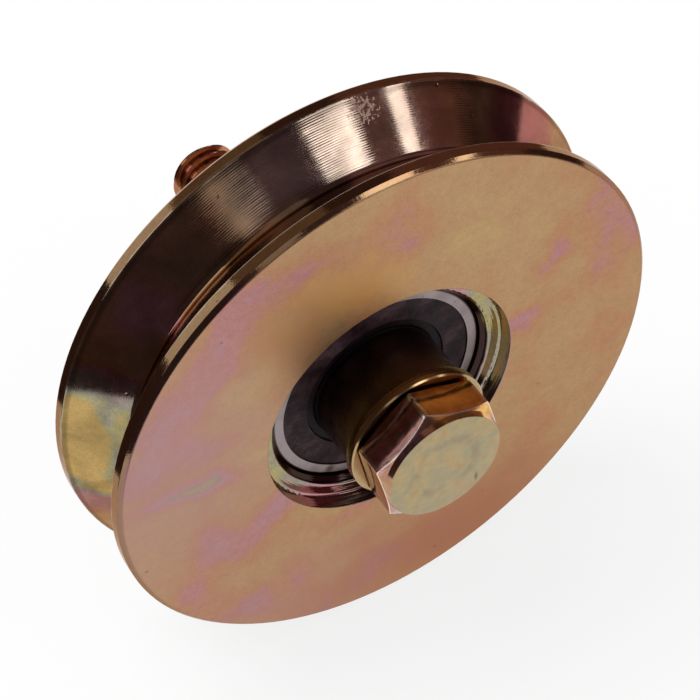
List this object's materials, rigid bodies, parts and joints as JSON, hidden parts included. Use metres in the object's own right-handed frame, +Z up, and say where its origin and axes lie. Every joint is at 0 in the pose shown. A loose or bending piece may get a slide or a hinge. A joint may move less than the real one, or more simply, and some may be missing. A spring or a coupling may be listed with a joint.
{
  "type": "v-groove gate wheel",
  "caption": "V-groove wheel that runs on a V rail, turning on a sealed ball bearing held by a hexagon bolt with spacer bushes, washers and a nut.",
  "frame": {"origin": "centre of the wheel, on its axis and in the middle plane of the V groove", "axes": "+Y along the wheel's axis, from the bolt's head to its threaded end; +Z up"},
  "size_m": [0.08, 0.0627, 0.08],
  "materials": {
    "wheel_plating": "yellow zinc plating, satin",
    "bearing_steel": "ground",
    "ball_steel": "polished steel",
    "seal_rubber": "matt",
    "cage_steel": "pressed",
    "bush_plating": "yellow zinc plating, satin",
    "washer_plating": "yellow zinc plating, satin",
    "bolt_plating": "yellow zinc plating, satin",
    "spring_washer_plating": "yellow zinc plating, satin",
    "nut_plating": "yellow zinc plating, satin"
  },
  "bodies": {
    "axle": {"hex_bolt": "bolt_plating", "front_washer": "washer_plating", "front_bush": "bush_plating", "bearing_inner_ring": "bearing_steel", "rear_bush": "bush_plating", "spring_washer": "spring_washer_plating", "lock_nut": "nut_plating"},
    "wheel": {"wheel": "wheel_plating", "bearing_outer_ring": "bearing_steel", "front_seal": "seal_rubber", "rear_seal": "seal_rubber"},
    "cage": {"front_cage_half": "cage_steel", "rear_cage_half": "cage_steel", "cage_rivet_1": "cage_steel", "cage_rivet_2": "cage_steel", "cage_rivet_3": "cage_steel", "cage_rivet_4": "cage_steel", "cage_rivet_5": "cage_steel", "cage_rivet_6": "cage_steel", "cage_rivet_7": "cage_steel"},
    "ball_1": {"ball_1": "ball_steel"},
    "ball_2": {"ball_2": "ball_steel"},
    "ball_3": {"ball_3": "ball_steel"},
    "ball_4": {"ball_4": "ball_steel"},
    "ball_5": {"ball_5": "ball_steel"},
    "ball_6": {"ball_6": "ball_steel"},
    "ball_7": {"ball_7": "ball_steel"}
  },
  "joints": [
    {"name": "wheel_spin", "type": "hinge", "parent": "axle", "child": "wheel", "pos_m": [0, 0, 0], "axis": [0, 1, 0], "continuous": true},
    {"name": "cage_spin", "type": "hinge", "parent": "axle", "child": "cage", "pos_m": [0, 0, 0], "axis": [0, 1, 0], "continuous": true},
    {"name": "ball_spin_1", "type": "hinge", "parent": "cage", "child": "ball_1", "pos_m": [0, 0, 0.011], "axis": [0, 1, 0], "continuous": true},
    {"name": "ball_spin_2", "type": "hinge", "parent": "cage", "child": "ball_2", "pos_m": [-0.0086, 0, 0.00686], "axis": [0, 1, 0], "continuous": true},
    {"name": "ball_spin_3", "type": "hinge", "parent": "cage", "child": "ball_3", "pos_m": [-0.01072, 0, -0.00245], "axis": [0, 1, 0], "continuous": true},
    {"name": "ball_spin_4", "type": "hinge", "parent": "cage", "child": "ball_4", "pos_m": [-0.00477, 0, -0.00991], "axis": [0, 1, 0], "continuous": true},
    {"name": "ball_spin_5", "type": "hinge", "parent": "cage", "child": "ball_5", "pos_m": [0.00477, 0, -0.00991], "axis": [0, 1, 0], "continuous": true},
    {"name": "ball_spin_6", "type": "hinge", "parent": "cage", "child": "ball_6", "pos_m": [0.01072, 0, -0.00245], "axis": [0, 1, 0], "continuous": true},
    {"name": "ball_spin_7", "type": "hinge", "parent": "cage", "child": "ball_7", "pos_m": [0.0086, 0, 0.00686], "axis": [0, 1, 0], "continuous": true}
  ],
  "couplings": [
    {"joint": "cage_spin", "follows": "wheel_spin", "ratio": 0.6353},
    {"joint": "ball_spin_1", "follows": "wheel_spin", "ratio": 1.7125},
    {"joint": "ball_spin_2", "follows": "wheel_spin", "ratio": 1.7125},
    {"joint": "ball_spin_3", "follows": "wheel_spin", "ratio": 1.7125},
    {"joint": "ball_spin_4", "follows": "wheel_spin", "ratio": 1.7125},
    {"joint": "ball_spin_5", "follows": "wheel_spin", "ratio": 1.7125},
    {"joint": "ball_spin_6", "follows": "wheel_spin", "ratio": 1.7125},
    {"joint": "ball_spin_7", "follows": "wheel_spin", "ratio": 1.7125}
  ]
}
